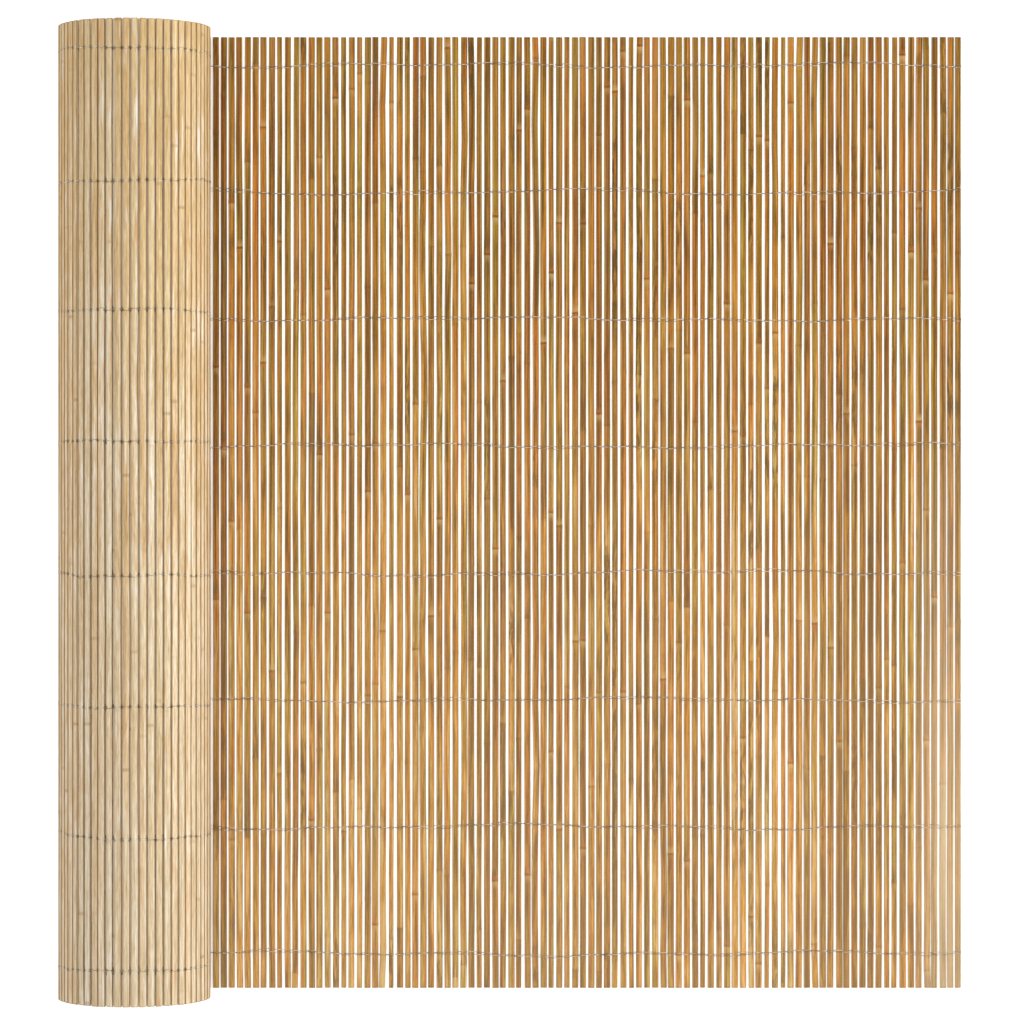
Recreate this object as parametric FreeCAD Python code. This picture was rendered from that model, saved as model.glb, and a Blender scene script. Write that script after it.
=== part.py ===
import FreeCAD, Part
import math
import os
import random

# Split bamboo fence, partly unrolled. One end lies flat on the floor, and the rest is a roll on top of it.
# Slats are split from bamboo stems: flat where they were split, slightly bulged where the skin is.
# The roll is wound with the flat backs outside, so the flat stretch shows its skin side.
# Rows of wire hold the slats: one wire runs along their backs and one along their skin side.
# Millimetres. X runs along the fence from the roll to the free edge, Y along the slats, Z up.
# The origin is the middle of the underside.

# The whole fence
FENCE_LENGTH = 5000.0
FENCE_HEIGHT = 1000.0
FLAT_LENGTH = 861.0
BORE_DIAMETER = 68.0

# One slat
SLAT_WIDTH = 6.5
SLAT_THICKNESS = 2.8
SKIN_BULGE = 0.35
SLAT_GAP = 1.9

# How the slats differ. A third are narrower, and each lies a little off its even place and leans to one side.
NARROWER_SHARE = 0.35
MOST_NARROWED = 1.7
MOST_SHIFTED = 0.35
MOST_LEAN = 0.5

# The wires
WIRE_DIAMETER = 0.7
WIRE_ROWS = 8
LOWEST_WIRE_TO_END = 36.5
HIGHEST_WIRE_TO_END = 29.0
SEAT_CLEARANCE = 0.05

# What follows from them
FULL_TURN = 2 * math.pi
SLAT_PITCH = SLAT_WIDTH + SLAT_GAP
SLAT_COUNT = 1 + int((FENCE_LENGTH - SLAT_WIDTH) / SLAT_PITCH)
BACK_LEVEL = WIRE_DIAMETER + SEAT_CLEARANCE
FRONT_WIRE_LEVEL = BACK_LEVEL + SLAT_THICKNESS + SEAT_CLEARANCE
LOWEST_WIRE = -FENCE_HEIGHT / 2 + LOWEST_WIRE_TO_END
HIGHEST_WIRE = FENCE_HEIGHT / 2 - HIGHEST_WIRE_TO_END

# Flat slats stand out of the round of the roll at their corners, by this much on the smallest turn.
CORE_MIDDLE_RADIUS = (BORE_DIAMETER + SLAT_THICKNESS) / 2
CORNER_RISE = SLAT_WIDTH ** 2 / (8 * CORE_MIDDLE_RADIUS)
TURN_PITCH = SLAT_THICKNESS + WIRE_DIAMETER + 2 * SEAT_CLEARANCE + CORNER_RISE

# The roll grows with the length that is wound onto it.
WOUND_LENGTH = FENCE_LENGTH - FLAT_LENGTH
MIDDLE_RADIUS = math.sqrt(CORE_MIDDLE_RADIUS ** 2 + TURN_PITCH * WOUND_LENGTH / math.pi)
BACK_RADIUS = MIDDLE_RADIUS + SLAT_THICKNESS / 2
AXIS_HEIGHT = BACK_RADIUS + BACK_LEVEL
SIDE_REACH = AXIS_HEIGHT - TURN_PITCH / 4
FREE_EDGE = (SIDE_REACH + FLAT_LENGTH) / 2
AXIS_X = FREE_EDGE - FLAT_LENGTH


def back_radius_at(turned):
    """Distance from the roll's axis to the slats' backs, after this angle from the floor."""
    return BACK_RADIUS - TURN_PITCH * turned / FULL_TURN


def turned_at(wound):
    """Angle at which this much of the sheet, measured along its middle, has been wound up."""
    left = MIDDLE_RADIUS ** 2 - TURN_PITCH * wound / math.pi
    return (MIDDLE_RADIUS - math.sqrt(left)) * FULL_TURN / TURN_PITCH


def point_on_roll(turned, radius, y=0.0):
    """A point at this angle and radius. Angle 0 is on the floor, and a quarter turn is on the left."""
    x = AXIS_X - radius * math.sin(turned)
    z = AXIS_HEIGHT - radius * math.cos(turned)
    return FreeCAD.Vector(x, y, z)


# Where each slat is: its distance from the free edge, or its angle on the roll.
SLAT_PLACES = [SLAT_WIDTH / 2 + number * SLAT_PITCH for number in range(SLAT_COUNT)]
FLAT_PLACES = [place for place in SLAT_PLACES if place <= FLAT_LENGTH]
ROLLED_ANGLES = [turned_at(place - FLAT_LENGTH) for place in SLAT_PLACES if place > FLAT_LENGTH]


def own_measures(number):
    """A slat's width, how far it lies off its even place, and how much further its upper end does
    than its lower one. Slats are counted from the free edge, where the first is whole and straight."""
    if number == 0:
        return SLAT_WIDTH, 0.0, 0.0
    draw = random.Random(number)
    shifted = MOST_SHIFTED * draw.uniform(-1, 1)
    lean = MOST_LEAN * draw.uniform(-1, 1)
    narrowed = 0.0
    if draw.random() < NARROWER_SHARE:
        narrowed = MOST_NARROWED * draw.random() ** 1.5
    return SLAT_WIDTH - narrowed, shifted, lean


def slat_at(even_place, number, skin_bulge):
    """One slat. Its back is on the placement's XY plane, and its skin side faces the placement's +Z."""
    width, shifted, lean = own_measures(number)
    turn = FreeCAD.Rotation(FreeCAD.Vector(0, 0, 1), -math.degrees(math.atan(lean / FENCE_HEIGHT)))
    place = even_place.multiply(FreeCAD.Placement(FreeCAD.Vector(shifted, 0, 0), turn))
    half_width = width / 2
    shoulder = SLAT_THICKNESS - skin_bulge
    lower_end = -FENCE_HEIGHT / 2
    back_left, back_right, shoulder_right, crown, shoulder_left = [
        place.multVec(FreeCAD.Vector(x, lower_end, z))
        for x, z in (
            (-half_width, 0.0),
            (half_width, 0.0),
            (half_width, shoulder),
            (0.0, SLAT_THICKNESS),
            (-half_width, shoulder),
        )
    ]
    if skin_bulge:
        skin = Part.Arc(shoulder_right, crown, shoulder_left)
    else:
        skin = Part.LineSegment(shoulder_right, shoulder_left)
    outline = Part.Wire([
        Part.LineSegment(back_left, back_right).toShape(),
        Part.LineSegment(back_right, shoulder_right).toShape(),
        skin.toShape(),
        Part.LineSegment(shoulder_left, back_left).toShape(),
    ])
    return Part.Face(outline).extrude(place.Rotation.multVec(FreeCAD.Vector(0, FENCE_HEIGHT, 0)))


def flat_slat(number):
    """A slat of the flat stretch."""
    middle = FreeCAD.Vector(FREE_EDGE - SLAT_PLACES[number], 0, BACK_LEVEL)
    return slat_at(FreeCAD.Placement(middle, FreeCAD.Rotation()), number, SKIN_BULGE)


def rolled_slat(number, turned, skin_bulge):
    """A slat of the roll, with its back square to the radius at this angle."""
    turn = FreeCAD.Rotation(FreeCAD.Vector(0, 1, 0), math.degrees(turned))
    middle = point_on_roll(turned, back_radius_at(turned))
    return slat_at(FreeCAD.Placement(middle, turn), number, skin_bulge)


def make_slats():
    """All slats, in one list for the flat stretch and one for each turn of the roll.
    The skin is bulged where it shows, and flat on the turns that others cover on both sides."""
    slats = {"flat_slats": [flat_slat(number) for number in range(len(FLAT_PLACES))]}
    for number, turned in enumerate(ROLLED_ANGLES, len(FLAT_PLACES)):
        turn_number = 1 + int(turned / FULL_TURN)
        shows = turn_number == 1 or turned > ROLLED_ANGLES[-1] - FULL_TURN
        slat = rolled_slat(number, turned, SKIN_BULGE if shows else 0.0)
        slats.setdefault("roll_turn_%02d_slats" % turn_number, []).append(slat)
    return slats


def wire_rows():
    """Number of each row of wire, and its place along the slats. The rows are evenly spaced."""
    spacing = (HIGHEST_WIRE - LOWEST_WIRE) / (WIRE_ROWS - 1)
    for row in range(WIRE_ROWS):
        yield row + 1, LOWEST_WIRE + row * spacing


def straight_wire(y, level):
    """A wire of the flat stretch, from the free edge to where the sheet leaves the floor."""
    corner = FreeCAD.Vector(AXIS_X, y - WIRE_DIAMETER / 2, level)
    return Part.makeBox(FLAT_LENGTH, WIRE_DIAMETER, WIRE_DIAMETER, corner)


def rolled_wire(y, slat_angles, from_back):
    """A wire over these slats of the roll, flat on each and bent between them.
    from_back is how far its outer side lies outside the slats' backs."""
    outside = []
    inside = []
    for before, after in zip(slat_angles, slat_angles[1:]):
        bend = (before + after) / 2
        reach = math.cos((after - before) / 2)
        outer = (back_radius_at(bend) + from_back) / reach
        outside.append(point_on_roll(bend, outer, y - WIRE_DIAMETER / 2))
        inside.append(point_on_roll(bend, outer - WIRE_DIAMETER / reach, y - WIRE_DIAMETER / 2))
    loop = outside + inside[::-1]
    return Part.Face(Part.makePolygon(loop + loop[:1])).extrude(FreeCAD.Vector(0, WIRE_DIAMETER, 0))


def outer_turn_angles():
    """The slats under the wire round the outer turn, from where the sheet leaves the floor.
    It ends before the roll meets the flat stretch again, where the wire goes in between the turns."""
    two_wires = 2 * (WIRE_DIAMETER + SEAT_CLEARANCE)
    last = FULL_TURN - math.acos(1 - two_wires / BACK_RADIUS)
    return [0.0, 0.0] + [turned for turned in ROLLED_ANGLES if turned < last]


def inner_turn_angles():
    """The slats round the bore."""
    return [turned for turned in ROLLED_ANGLES if turned > ROLLED_ANGLES[-1] - FULL_TURN]


def make_wires():
    """The wires that show: on both sides of the flat stretch, round the outer turn and round the bore."""
    wires = {}
    for row, y in wire_rows():
        wires["back_wire_%d" % row] = [straight_wire(y, 0.0)]
        wires["front_wire_%d" % row] = [straight_wire(y, FRONT_WIRE_LEVEL)]
        wires["roll_wire_%d" % row] = [rolled_wire(y, outer_turn_angles(), BACK_LEVEL)]
        wires["bore_wire_%d" % row] = [rolled_wire(y, inner_turn_angles(), -SLAT_THICKNESS - SEAT_CLEARANCE)]
    return wires


def main():
    """Writes one file for each named group of pieces."""
    os.makedirs("parts", exist_ok=True)
    for name, pieces in {**make_slats(), **make_wires()}.items():
        Part.makeCompound(pieces).exportStep("parts/%s.step" % name)
    print("%d slats, roll axis %.2f mm above the floor" % (SLAT_COUNT, AXIS_HEIGHT))


main()
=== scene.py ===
"""The looks of a split bamboo fence that lies partly unrolled: slats, twisted wires and a plain studio."""

import math
import random

import bmesh
import bpy
import numpy as np
from bpy.props import FloatProperty, FloatVectorProperty, PointerProperty
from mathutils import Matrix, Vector


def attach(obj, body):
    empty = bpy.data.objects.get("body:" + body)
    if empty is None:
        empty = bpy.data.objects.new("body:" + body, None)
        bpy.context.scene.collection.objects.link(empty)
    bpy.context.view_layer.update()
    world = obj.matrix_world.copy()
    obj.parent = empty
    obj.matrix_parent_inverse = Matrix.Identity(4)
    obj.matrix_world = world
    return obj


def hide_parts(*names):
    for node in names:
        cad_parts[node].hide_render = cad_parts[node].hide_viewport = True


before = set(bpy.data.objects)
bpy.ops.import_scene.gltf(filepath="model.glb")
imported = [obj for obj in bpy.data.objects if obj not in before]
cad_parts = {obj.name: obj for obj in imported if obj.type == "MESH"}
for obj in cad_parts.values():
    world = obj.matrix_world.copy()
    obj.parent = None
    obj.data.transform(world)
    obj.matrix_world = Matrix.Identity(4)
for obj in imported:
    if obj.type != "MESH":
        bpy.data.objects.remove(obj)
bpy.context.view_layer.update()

bl_info = {
    "name": "Split bamboo fence",
    "version": (1, 0, 0),
    "blender": (4, 5, 0),
    "location": "3D View > Sidebar > Fence",
    "description": "Adds the slats, the twisted wires and the studio of a partly unrolled bamboo fence",
    "category": "Add Mesh",
}

# Sizes of the fence, in millimetres. X runs from the roll to the free edge, Y along the slats, Z up.
FENCE_LENGTH = 5000.0
HALF_HEIGHT = 500.0
FLAT_LENGTH = 861.0
BORE_DIAMETER = 68.0
SOLID_SLAT_WIDTH = 6.5
SLAT_PITCH = 8.4
SLAT_COUNT = 595
SLAT_THICKNESS = 2.8
WIRE_SPACE = 0.8
BACK_LEVEL = 0.75
LOWEST_WIRE = -463.5
WIRE_SPACING = 133.5
WIRE_ROWS = [LOWEST_WIRE + WIRE_SPACING * row for row in range(8)]
FULL_TURN = 2 * math.pi

# The roll as it is wound in the solids.
CORE_MIDDLE_RADIUS = (BORE_DIAMETER + SLAT_THICKNESS) / 2
TURN_PITCH = SLAT_THICKNESS + WIRE_SPACE + SOLID_SLAT_WIDTH ** 2 / (8 * CORE_MIDDLE_RADIUS)
WOUND_LENGTH = FENCE_LENGTH - FLAT_LENGTH
MIDDLE_RADIUS = math.sqrt(CORE_MIDDLE_RADIUS ** 2 + TURN_PITCH * WOUND_LENGTH / math.pi)
BACK_RADIUS = MIDDLE_RADIUS + SLAT_THICKNESS / 2
AXIS_HEIGHT = BACK_RADIUS + BACK_LEVEL
FREE_EDGE = (AXIS_HEIGHT - TURN_PITCH / 4 + FLAT_LENGTH) / 2
AXIS_X = FREE_EDGE - FLAT_LENGTH

TO_METRES = 0.001


def from_edge_of(number):
    """How far the middle of a slat is from the free edge, along the fence."""
    return SOLID_SLAT_WIDTH / 2 + number * SLAT_PITCH


def turned_at(wound):
    """Angle at which this much of the fence, in millimetres along its middle, has been wound up."""
    left = MIDDLE_RADIUS ** 2 - TURN_PITCH * wound / math.pi
    return (MIDDLE_RADIUS - math.sqrt(left)) * FULL_TURN / TURN_PITCH


def on_fence(from_edge, height):
    """X and Z of a point this far from the free edge and this high above the slats' backs."""
    wound = from_edge - FLAT_LENGTH
    if wound <= 0:
        return FREE_EDGE - from_edge, BACK_LEVEL + height
    turned = turned_at(wound)
    radius = BACK_RADIUS - TURN_PITCH * turned / FULL_TURN - height
    return AXIS_X - radius * math.sin(turned), AXIS_HEIGHT - radius * math.cos(turned)


def slat_frame(number):
    """Middle of a slat's back as (x, z), and the angle that it has been turned through."""
    from_edge = from_edge_of(number)
    turned = max(0.0, turned_at(max(0.0, from_edge - FLAT_LENGTH)))
    return on_fence(from_edge, 0.0), turned


def turn_of(number):
    """0 on the flat stretch, and the number of the turn on the roll."""
    from_edge = from_edge_of(number)
    if from_edge <= FLAT_LENGTH:
        return 0
    return 1 + int(turned_at(from_edge - FLAT_LENGTH) / FULL_TURN)


LAST_TURN = turn_of(SLAT_COUNT - 1)

# Under its outer turn the roll is pressed a little tighter than its solids, least of all at the bore.
PRESSED_TURNS = [0.0, 1.0, 1.2, LAST_TURN]
PRESSED_OUTWARDS = [0.0, 0.0, 0.6, 0.0]


# How each slat differs from the next

# Heights along a slat where its sideways place is set: at its ends, at each row of wire, and halfway
# between two rows.
HOLD_PLACES = [-HALF_HEIGHT]
for lower, upper in zip(WIRE_ROWS, WIRE_ROWS[1:]):
    HOLD_PLACES += [lower, (lower + upper) / 2]
HOLD_PLACES += [WIRE_ROWS[-1], HALF_HEIGHT]

# How the slats of the solids differ. This share of them is narrower.
NARROWER_SHARE = 0.35
MOST_NARROWED = 1.7
MOST_SHIFTED = 0.35
MOST_LEAN = 0.5

# How they differ further here, in millimetres, and the tilt in degrees.
WIDTH_SPREAD = 0.09
MOST_WIDENED = 0.2
MOST_TAPER = 0.15
MOST_THINNED = 0.35
CROWNS = (0.18, 0.4)
MOST_TILT = 4.0
MOST_CUT_SHORT = 0.25
PLAY_AT_WIRE = 0.12
USUAL_BOW = 0.2
STRONG_BOW = 0.8
STRONG_BOW_SHARE = 0.14
MOST_BOW = 1.3
LEAST_GAP = 0.35

# The slat at the free edge is narrower and set back, to leave room for the wire round it.
FIRST_NARROWED = 0.4
FIRST_SET_BACK = 0.6

# The nodes, where the bamboo's stem had its joints, the rings of vertices round each, and its swelling.
NODE_SPACINGS = (210.0, 400.0)
NODE_TO_END = 12.0
NODE_RINGS = (-5.0, -1.2, 1.2, 5.0)
NODE_REACH = 2.2
NODE_SIDE_SWELL = 0.16
NODE_SKIN_SWELL = 0.28

# How light the slats are on the whole, for some slats counted from the free edge, and its share in a tone.
TONE_PLACES = [0, 6, 13, 23, 32, 42, 51, 60, 70, 79, 88, 103, 114, 126, 136, 148, 160, SLAT_COUNT]
BROAD_TONES = [0.4, -0.4, -0.9, 1.05, 0.3, -0.1, 0.05, 0.45, 1.2, 1.3, 0.4, 0.5, 1.6, 1.3, 0.6, 0.9, 0.5, 0.5]
BROAD_TONE_SHARE = 0.4
OWN_TONE_SHARE = 0.6

# The slats that the roll covers are made pale: painted light, seen through the gaps of the outer turn.
HIDDEN_PAINTED_LIGHT_TONE = 3.0
HIDDEN_TONE_SPREAD = 0.4

# Some slats near the free edge are bleached towards their lower ends, this one most of all.
MOST_BLEACHED_SLAT = 2
BLEACHED_REACH = 4.0


def solid_measures(number):
    """How much narrower a slat is than a whole one, how far it lies off its even place, and how much
    further its upper end does than its lower one, as in the solids."""
    if number == 0:
        return 0.0, 0.0, 0.0
    draw = random.Random(number)
    shifted = MOST_SHIFTED * draw.uniform(-1, 1)
    lean = MOST_LEAN * draw.uniform(-1, 1)
    narrowed = 0.0
    if draw.random() < NARROWER_SHARE:
        narrowed = MOST_NARROWED * draw.random() ** 1.5
    return narrowed, shifted, lean


class Slat:
    """One slat's own measures, in millimetres, drawn from a seed so that they are always the same."""

    def __init__(self, number, sizes):
        draw = random.Random(7100 + number)
        self.number = number
        self.turn = turn_of(number)
        narrowed, shifted, lean = solid_measures(number)
        whole_width = sizes.slat_width if self.turn == 0 else sizes.rolled_slat_width
        self.width = whole_width - narrowed + min(MOST_WIDENED, draw.gauss(0.0, WIDTH_SPREAD))
        self.taper = draw.uniform(-MOST_TAPER, MOST_TAPER)
        self.thickness = SLAT_THICKNESS - draw.uniform(0.0, MOST_THINNED)
        self.crown = draw.uniform(*CROWNS)
        self.tilt = math.radians(draw.uniform(-MOST_TILT, MOST_TILT))
        self.lower_end = -HALF_HEIGHT + draw.uniform(0.0, MOST_CUT_SHORT)
        self.upper_end = HALF_HEIGHT - draw.uniform(0.0, MOST_CUT_SHORT)
        self.sway = self.draw_sway(draw, shifted, lean)
        if number == 0:
            self.width = whole_width - FIRST_NARROWED
            self.taper = 0.0
            self.sway = [min(sway, -FIRST_SET_BACK) for sway in self.sway]
        self.node_spacing = draw.uniform(*NODE_SPACINGS)
        self.node_start = draw.uniform(-0.5, 0.5) * self.node_spacing
        self.seed = draw.random()
        broad = float(smooth_between(TONE_PLACES, BROAD_TONES, np.array([number]))[0])
        self.tone = OWN_TONE_SHARE * draw.random() + BROAD_TONE_SHARE * broad
        self.bleached = max(0.0, 1 - abs(number - MOST_BLEACHED_SLAT) / BLEACHED_REACH)
        # Covered slats get a pale tone: painted light in the gaps of the outer turn.
        if 1 < self.turn < LAST_TURN:
            self.tone = HIDDEN_PAINTED_LIGHT_TONE + HIDDEN_TONE_SPREAD * self.tone

    def draw_sway(self, draw, shifted, lean):
        """How far to one side the slat lies at each hold place. The wires hold it nearly in place, and it
        bows between them and at its ends."""
        bend = STRONG_BOW if draw.random() < STRONG_BOW_SHARE else USUAL_BOW
        sway = []
        for index, place in enumerate(HOLD_PLACES):
            held = shifted + lean * place / (2 * HALF_HEIGHT) + draw.uniform(-PLAY_AT_WIRE, PLAY_AT_WIRE)
            bow = draw.gauss(0.0, bend) if index % 2 == 0 else 0.0
            sway.append(held + max(-MOST_BOW, min(MOST_BOW, bow)))
        return sway

    def nodes(self):
        """Places of the rings that cross the slat where the bamboo's stem had its joints."""
        first = math.ceil((self.lower_end + NODE_TO_END - self.node_start) / self.node_spacing)
        place = self.node_start + first * self.node_spacing
        while place < self.upper_end - NODE_TO_END:
            yield place
            place += self.node_spacing


def settle(slats):
    """Moves slats that would run into each other apart, as the wires between them do."""
    for _ in range(6):
        for left, right in zip(slats, slats[1:]):
            room = SLAT_PITCH - (left.width + right.width) / 2 - LEAST_GAP
            for index in range(len(HOLD_PLACES)):
                closing = right.sway[index] - left.sway[index]
                if closing > room:
                    excess = (closing - room) / 2
                    right.sway[index] -= excess
                    left.sway[index] += excess


def all_slats(sizes):
    """Every slat of the fence, from the free edge to the middle of the roll."""
    slats = [Slat(number, sizes) for number in range(SLAT_COUNT)]
    settle(slats)
    return slats


# Outline of a slat: across as a share of half its width, and height as a share of its thickness.
# It starts at the left of the back and goes round by the right side and the skin.
SLAT_OUTLINE = [
    (-0.92, 0.0), (0.92, 0.0), (0.98, 0.05), (1.0, 0.2), (1.0, 0.74), (0.91, 0.91),
    (0.45, 0.99), (-0.45, 0.99), (-0.91, 0.91), (-1.0, 0.74), (-1.0, 0.2), (-0.98, 0.05),
]
SKIN_SIDES = (4, 5, 6, 7, 8)


# Order of a slat's materials.
SKIN = 0
SPLIT = 1
END = 2

# Rings of vertices along a slat that shows, and along one that others cover.
SHOWN_STATIONS = 30
HIDDEN_STATIONS = 3


def slat_template(station_count):
    """A slat with one ring of its outline at each whole number of Y.
    Gives each vertex's station and place in the outline, the faces, and each face's material."""
    builder = bmesh.new()
    ring = [builder.verts.new((across, 0.0, height)) for across, height in SLAT_OUTLINE]
    edges = [builder.edges.new(pair) for pair in zip(ring, ring[1:] + ring[:1])]
    for _ in range(station_count - 1):
        grown = bmesh.ops.extrude_edge_only(builder, edges=edges)["geom"]
        moved = [part for part in grown if isinstance(part, bmesh.types.BMVert)]
        edges = [part for part in grown if isinstance(part, bmesh.types.BMEdge)
                 and all(vertex in moved for vertex in part.verts)]
        bmesh.ops.translate(builder, verts=moved, vec=(0.0, 1.0, 0.0))
    bmesh.ops.holes_fill(builder, edges=builder.edges[:], sides=0)
    bmesh.ops.recalc_face_normals(builder, faces=builder.faces[:])
    builder.verts.index_update()
    stations = np.array([round(vertex.co.y) for vertex in builder.verts])
    places = []
    for vertex in builder.verts:
        gaps = [abs(vertex.co.x - across) + abs(vertex.co.z - height) for across, height in SLAT_OUTLINE]
        places.append(gaps.index(min(gaps)))
    faces = [[vertex.index for vertex in face.verts] for face in builder.faces]
    builder.free()
    return stations, np.array(places), faces, [face_material(face, places) for face in faces]


def face_material(face, places):
    """Which material a face of the template has, from the places of its corners in the outline."""
    if len(face) > 4:
        return END
    sides = {places[index] for index in face}
    side = max(sides) if sides == {0, len(SLAT_OUTLINE) - 1} else min(sides)
    return SKIN if side in SKIN_SIDES else SPLIT


def smooth_between(places, values, at):
    """Values at these places, running smoothly from each known one to the next."""
    places = np.asarray(places)
    values = np.asarray(values)
    index = np.clip(np.searchsorted(places, at) - 1, 0, len(places) - 2)
    share = (at - places[index]) / (places[index + 1] - places[index])
    share = share * share * (3 - 2 * share)
    return values[index] * (1 - share) + values[index + 1] * share


def slat_stations(slat, station_count):
    """Places along the slat that get a ring of vertices: its ends, round each node, and spread between."""
    if station_count == HIDDEN_STATIONS:
        return np.linspace(slat.lower_end, slat.upper_end, station_count)
    wanted = {slat.lower_end, slat.upper_end}
    for node in slat.nodes():
        wanted.update(node + ring for ring in NODE_RINGS)
    wanted = sorted(wanted)
    while len(wanted) < station_count:
        gaps = [upper - lower for lower, upper in zip(wanted, wanted[1:])]
        widest = gaps.index(max(gaps))
        wanted.insert(widest + 1, (wanted[widest] + wanted[widest + 1]) / 2)
    return np.array(wanted[:station_count])


def slat_section(slat, rings, stations, outline):
    """How far across the slat and how high above its back each vertex is. The skin is crowned, and it and
    the sides swell at the nodes."""
    swell = np.zeros(len(rings))
    for node in slat.nodes():
        swell += np.exp(-((rings - node) / NODE_REACH) ** 2)
    half_width = (slat.width + slat.taper * rings / HALF_HEIGHT) / 2 + NODE_SIDE_SWELL * swell
    height = outline[:, 1] * slat.thickness
    on_skin = outline[:, 1] > 0.5
    bulge = (1 - outline[:, 0] ** 2) * (slat.crown - 0.1)
    height = height - np.where(on_skin, slat.crown * 0.5, 0.0) + np.where(on_skin, bulge, 0.0)
    height = height + np.where(on_skin, NODE_SKIN_SWELL * swell[stations], 0.0)
    return outline[:, 0] * half_width[stations], height


def lay_slat(slat, across, along, height, sway):
    """Points of a slat, tilted and moved to its side, and turned as far as it has gone round the roll."""
    (x, z), turned = slat_frame(slat.number)
    pressed = smooth_between(PRESSED_TURNS, PRESSED_OUTWARDS, np.array([turned / FULL_TURN]))
    moved_across = across * math.cos(slat.tilt) + height * math.sin(slat.tilt) + sway
    moved_up = height * math.cos(slat.tilt) - across * math.sin(slat.tilt) - pressed
    return np.stack([
        x + moved_across * math.cos(turned) + moved_up * math.sin(turned),
        along,
        z - moved_across * math.sin(turned) + moved_up * math.cos(turned)], axis=1)


def slat_vertices(slat, template, station_count):
    """A slat's vertices in millimetres, and what the materials read at each: where it is on the slat (across,
    along and above its back), the slat's looks, where it is across the slat as a share of half its width,
    where it would be along the slat if the wires ran straight, and how bleached the slat is."""
    stations, places, _, _ = template
    outline = np.array(SLAT_OUTLINE)[places]
    rings = slat_stations(slat, station_count)
    along = rings[stations]
    across, height = slat_section(slat, rings, stations, outline)
    sway = smooth_between(HOLD_PLACES, slat.sway, rings)[stations]
    strays = [row_place(row, slat) - WIRE_ROWS[row] for row in range(len(WIRE_ROWS))]
    straightened = rings - np.interp(rings, WIRE_ROWS, strays)
    look = (slat.seed, slat.node_start * TO_METRES, slat.node_spacing * TO_METRES, slat.tone)
    return lay_slat(slat, across, along, height, sway), {
        "slat_spot": np.stack([across, along, height], axis=1),
        "slat_look": np.tile(look, (len(along), 1)),
        "slat_share": outline[:, 0],
        "slat_straightened": straightened[stations],
        "slat_bleached": np.full(len(along), slat.bleached),
    }


# What each vertex of a slat tells the materials, and how a mesh stores it.
LOOK_ATTRIBUTES = {
    "slat_spot": ("FLOAT_VECTOR", "vector"),
    "slat_look": ("FLOAT_COLOR", "color"),
    "slat_share": ("FLOAT", "value"),
    "slat_straightened": ("FLOAT", "value"),
    "slat_bleached": ("FLOAT", "value"),
}


def join_slats(name, slats, station_count, materials):
    """One mesh of these slats, with each slat's place and looks kept on its vertices for the materials."""
    template = slat_template(station_count)
    _, places, template_faces, template_materials = template
    points, looks = zip(*[slat_vertices(slat, template, station_count) for slat in slats])
    faces = []
    for start in range(0, len(slats) * len(places), len(places)):
        faces += [[start + index for index in face] for face in template_faces]
    mesh = bpy.data.meshes.new(name)
    mesh.from_pydata((np.concatenate(points) * TO_METRES).tolist(), [], faces)
    mesh.polygons.foreach_set("material_index", template_materials * len(slats))
    for attribute, (kind, field) in LOOK_ATTRIBUTES.items():
        layer = mesh.attributes.new(attribute, kind, "POINT")
        layer.data.foreach_set(field, np.concatenate([each[attribute] for each in looks]).ravel())
    mesh.shade_smooth()
    mesh.set_sharp_from_angle(angle=math.radians(38))
    mesh.validate()
    piece = add_object(name, mesh)
    for material in materials:
        mesh.materials.append(material)
    return piece


def add_object(name, data):
    """An object of this mesh, curve, lamp or camera, in the scene."""
    added = bpy.data.objects.new(name, data)
    bpy.context.scene.collection.objects.link(added)
    return added


# Materials

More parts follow.
